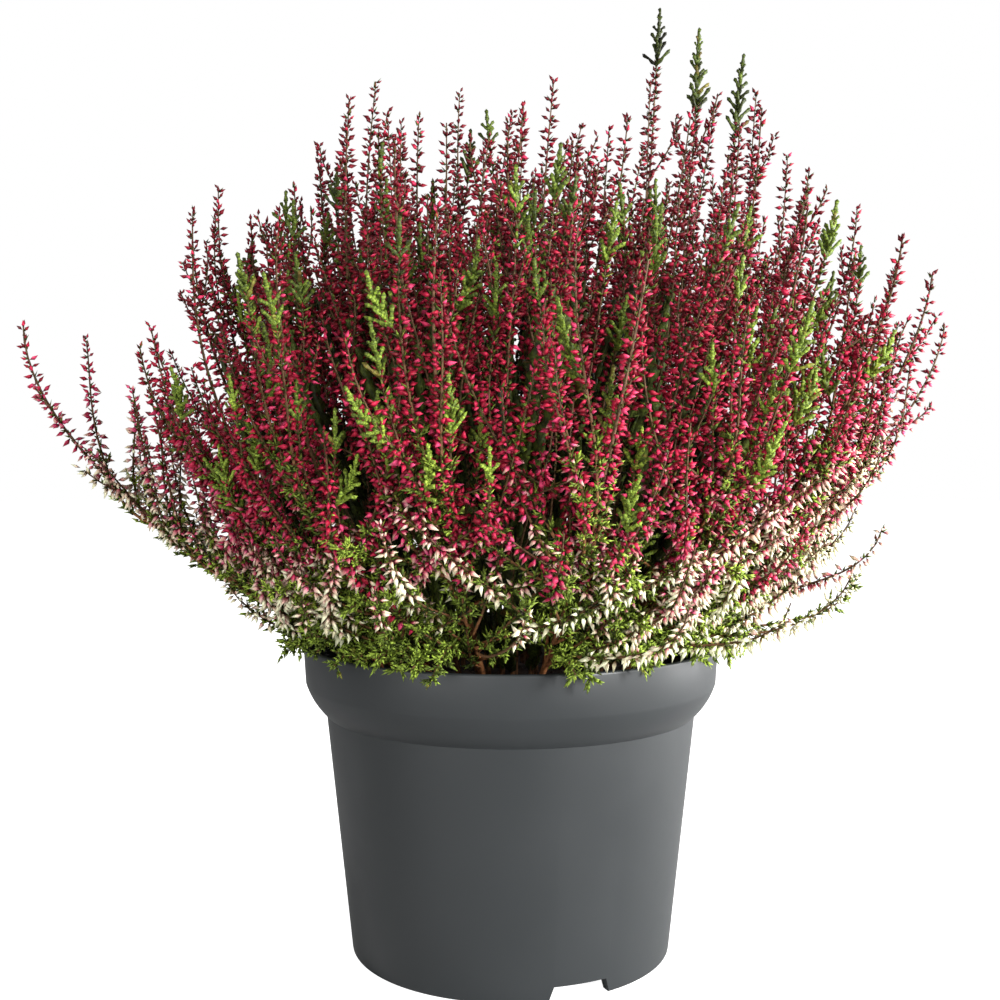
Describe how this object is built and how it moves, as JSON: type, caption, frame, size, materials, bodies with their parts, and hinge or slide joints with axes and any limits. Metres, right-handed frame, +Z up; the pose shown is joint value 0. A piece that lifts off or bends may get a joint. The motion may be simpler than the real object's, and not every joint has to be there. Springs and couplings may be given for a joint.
{
  "type": "potted heather",
  "caption": "Bushy bud-blooming heather with upright crimson flower spikes, a pale fringe and green leafy tips, in a round grey plastic nursery pot filled with peat.",
  "frame": {"origin": "on the pot's axis, in the plane that the foot ring stands on", "axes": "+Z up along the pot's axis; -Y is the front; +X is the side where the crown is tallest and widest"},
  "size_m": [0.3109, 0.2735, 0.3234],
  "materials": {
    "pot_plastic": "moulded dark grey, semi-matte",
    "soil": "moist peat, rough",
    "heather_buds": "closed waxy buds, crimson pink",
    "heather_pale_buds": "closed waxy buds, white and pink",
    "heather_leaves": "tiny scale leaves, green"
  },
  "bodies": {
    "root": {"pot": "pot_plastic", "soil": "soil", "flowering_branch_01": "heather_buds", "flowering_branch_02": "heather_buds", "flowering_branch_03": "heather_buds", "flowering_branch_04": "heather_buds", "flowering_branch_05": "heather_buds", "flowering_branch_06": "heather_buds", "flowering_branch_07": "heather_buds", "flowering_branch_08": "heather_buds", "flowering_branch_09": "heather_buds", "flowering_branch_10": "heather_buds", "flowering_branch_11": "heather_buds", "flowering_branch_12": "heather_buds", "flowering_branch_13": "heather_buds", "flowering_branch_14": "heather_buds", "flowering_branch_15": "heather_buds", "flowering_branch_16": "heather_buds", "flowering_branch_17": "heather_buds", "flowering_branch_18": "heather_buds", "flowering_branch_19": "heather_buds", "flowering_branch_20": "heather_buds", "flowering_branch_21": "heather_buds", "flowering_branch_22": "heather_buds", "flowering_branch_23": "heather_buds", "flowering_branch_24": "heather_buds", "flowering_branch_25": "heather_buds", "flowering_branch_26": "heather_buds", "flowering_branch_27": "heather_buds", "flowering_branch_28": "heather_buds", "flowering_branch_29": "heather_buds", "flowering_branch_30": "heather_buds", "flowering_branch_31": "heather_buds", "flowering_branch_32": "heather_buds", "flowering_branch_33": "heather_buds", "flowering_branch_34": "heather_buds", "flowering_branch_35": "heather_buds", "flowering_branch_36": "heather_buds", "flowering_branch_37": "heather_buds", "flowering_branch_38": "heather_buds", "flowering_branch_39": "heather_buds", "flowering_branch_40": "heather_buds", "fringe_branch_01": "heather_pale_buds", "fringe_branch_02": "heather_pale_buds", "fringe_branch_03": "heather_pale_buds", "fringe_branch_04": "heather_pale_buds", "fringe_branch_05": "heather_pale_buds", "fringe_branch_06": "heather_pale_buds", "fringe_branch_07": "heather_pale_buds", "fringe_branch_08": "heather_pale_buds", "fringe_branch_09": "heather_pale_buds", "fringe_branch_10": "heather_pale_buds", "fringe_branch_11": "heather_pale_buds", "fringe_branch_12": "heather_pale_buds", "fringe_branch_13": "heather_pale_buds", "fringe_branch_14": "heather_pale_buds", "fringe_branch_15": "heather_pale_buds", "fringe_branch_16": "heather_pale_buds"}
  },
  "joints": []
}
